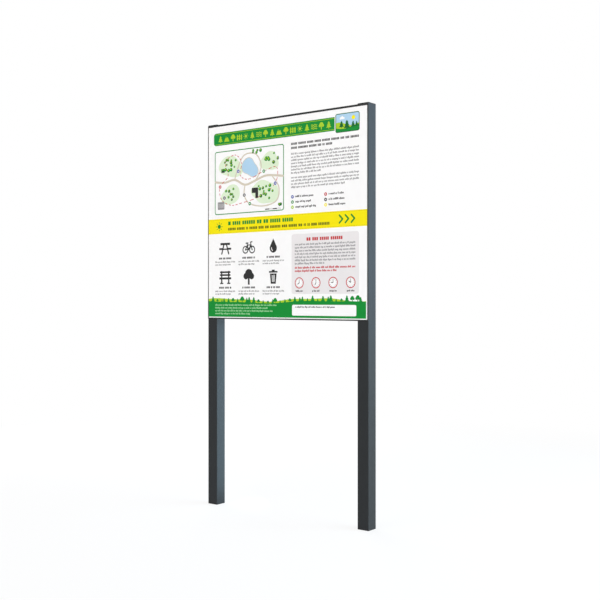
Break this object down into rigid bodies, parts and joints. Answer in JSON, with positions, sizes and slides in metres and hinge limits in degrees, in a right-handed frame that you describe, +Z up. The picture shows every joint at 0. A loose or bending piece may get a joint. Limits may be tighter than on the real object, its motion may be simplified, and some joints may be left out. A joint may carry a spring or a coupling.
{
  "type": "outdoor information board",
  "caption": "Square printed information board in front of two square steel tube posts, held from behind by folded rails bolted between the posts.",
  "frame": {"origin": "middle of the whole width and depth, on the plane of the two post feet", "axes": "+Z up along the posts, -Y out of the printed face towards the reader, +X to the reader's right"},
  "size_m": [1.3, 0.0834, 2.556],
  "materials": {
    "powder_coat": "anthracite grey powder coat, fine texture, satin",
    "coated_aluminium": "anthracite grey powder coat on aluminium sheet",
    "print_film": "printed film under a satin laminate, white ground with green and yellow bands",
    "cap_plastic": "moulded black polyethylene, fine grain",
    "stainless_steel": "turned and rolled stainless steel",
    "zinc_steel": "bright zinc plate"
  },
  "bodies": {
    "root": {"post_left": "powder_coat", "post_right": "powder_coat", "post_cap_left": "cap_plastic", "post_cap_right": "cap_plastic", "sign_sheet": "coated_aluminium", "print_film": "print_film", "rail_top": "powder_coat", "rail_middle": "powder_coat", "rail_bottom": "powder_coat", "end_plate_top_left": "powder_coat", "end_plate_top_right": "powder_coat", "end_plate_middle_left": "powder_coat", "end_plate_middle_right": "powder_coat", "end_plate_bottom_left": "powder_coat", "end_plate_bottom_right": "powder_coat", "rail_bolts": "stainless_steel", "rail_bolt_washers": "stainless_steel", "rivet_nuts": "zinc_steel", "weld_studs": "stainless_steel", "stud_washers": "stainless_steel", "stud_nuts": "stainless_steel"}
  },
  "joints": []
}
